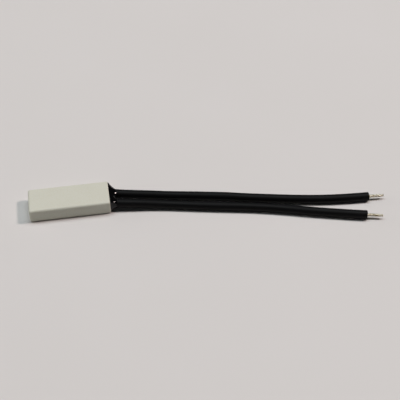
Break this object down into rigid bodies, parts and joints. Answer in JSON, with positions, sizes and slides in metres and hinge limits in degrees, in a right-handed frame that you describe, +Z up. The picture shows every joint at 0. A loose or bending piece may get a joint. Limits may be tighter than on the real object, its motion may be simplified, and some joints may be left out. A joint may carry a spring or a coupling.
{
  "type": "thermal fuse",
  "caption": "Flat one-shot thermal fuse in an ivory moulded case, with black insulated leads out of its resin-sealed end.",
  "frame": {"origin": "middle of the case's underside", "axes": "+X along the case towards the leads, +Z up out of the case's top, +Y across"},
  "size_m": [0.0885, 0.0203, 0.0038],
  "materials": {
    "case": "ivory moulded thermoplastic, fine matt texture",
    "resin": "glossy black potting resin",
    "jacket": "satin black extruded insulation",
    "conductor": "tinned copper strands",
    "terminal": "stamped brass strip",
    "link": "dull low-melting alloy",
    "flux": "amber rosin flux"
  },
  "bodies": {
    "root": {"case_shell": "case", "resin_seal": "resin", "far_lead_jacket": "jacket", "near_lead_jacket": "jacket", "far_lead_conductor": "conductor", "near_lead_conductor": "conductor", "far_terminal": "terminal", "near_terminal": "terminal", "fusible_link": "link", "flux_body": "flux"}
  },
  "joints": []
}
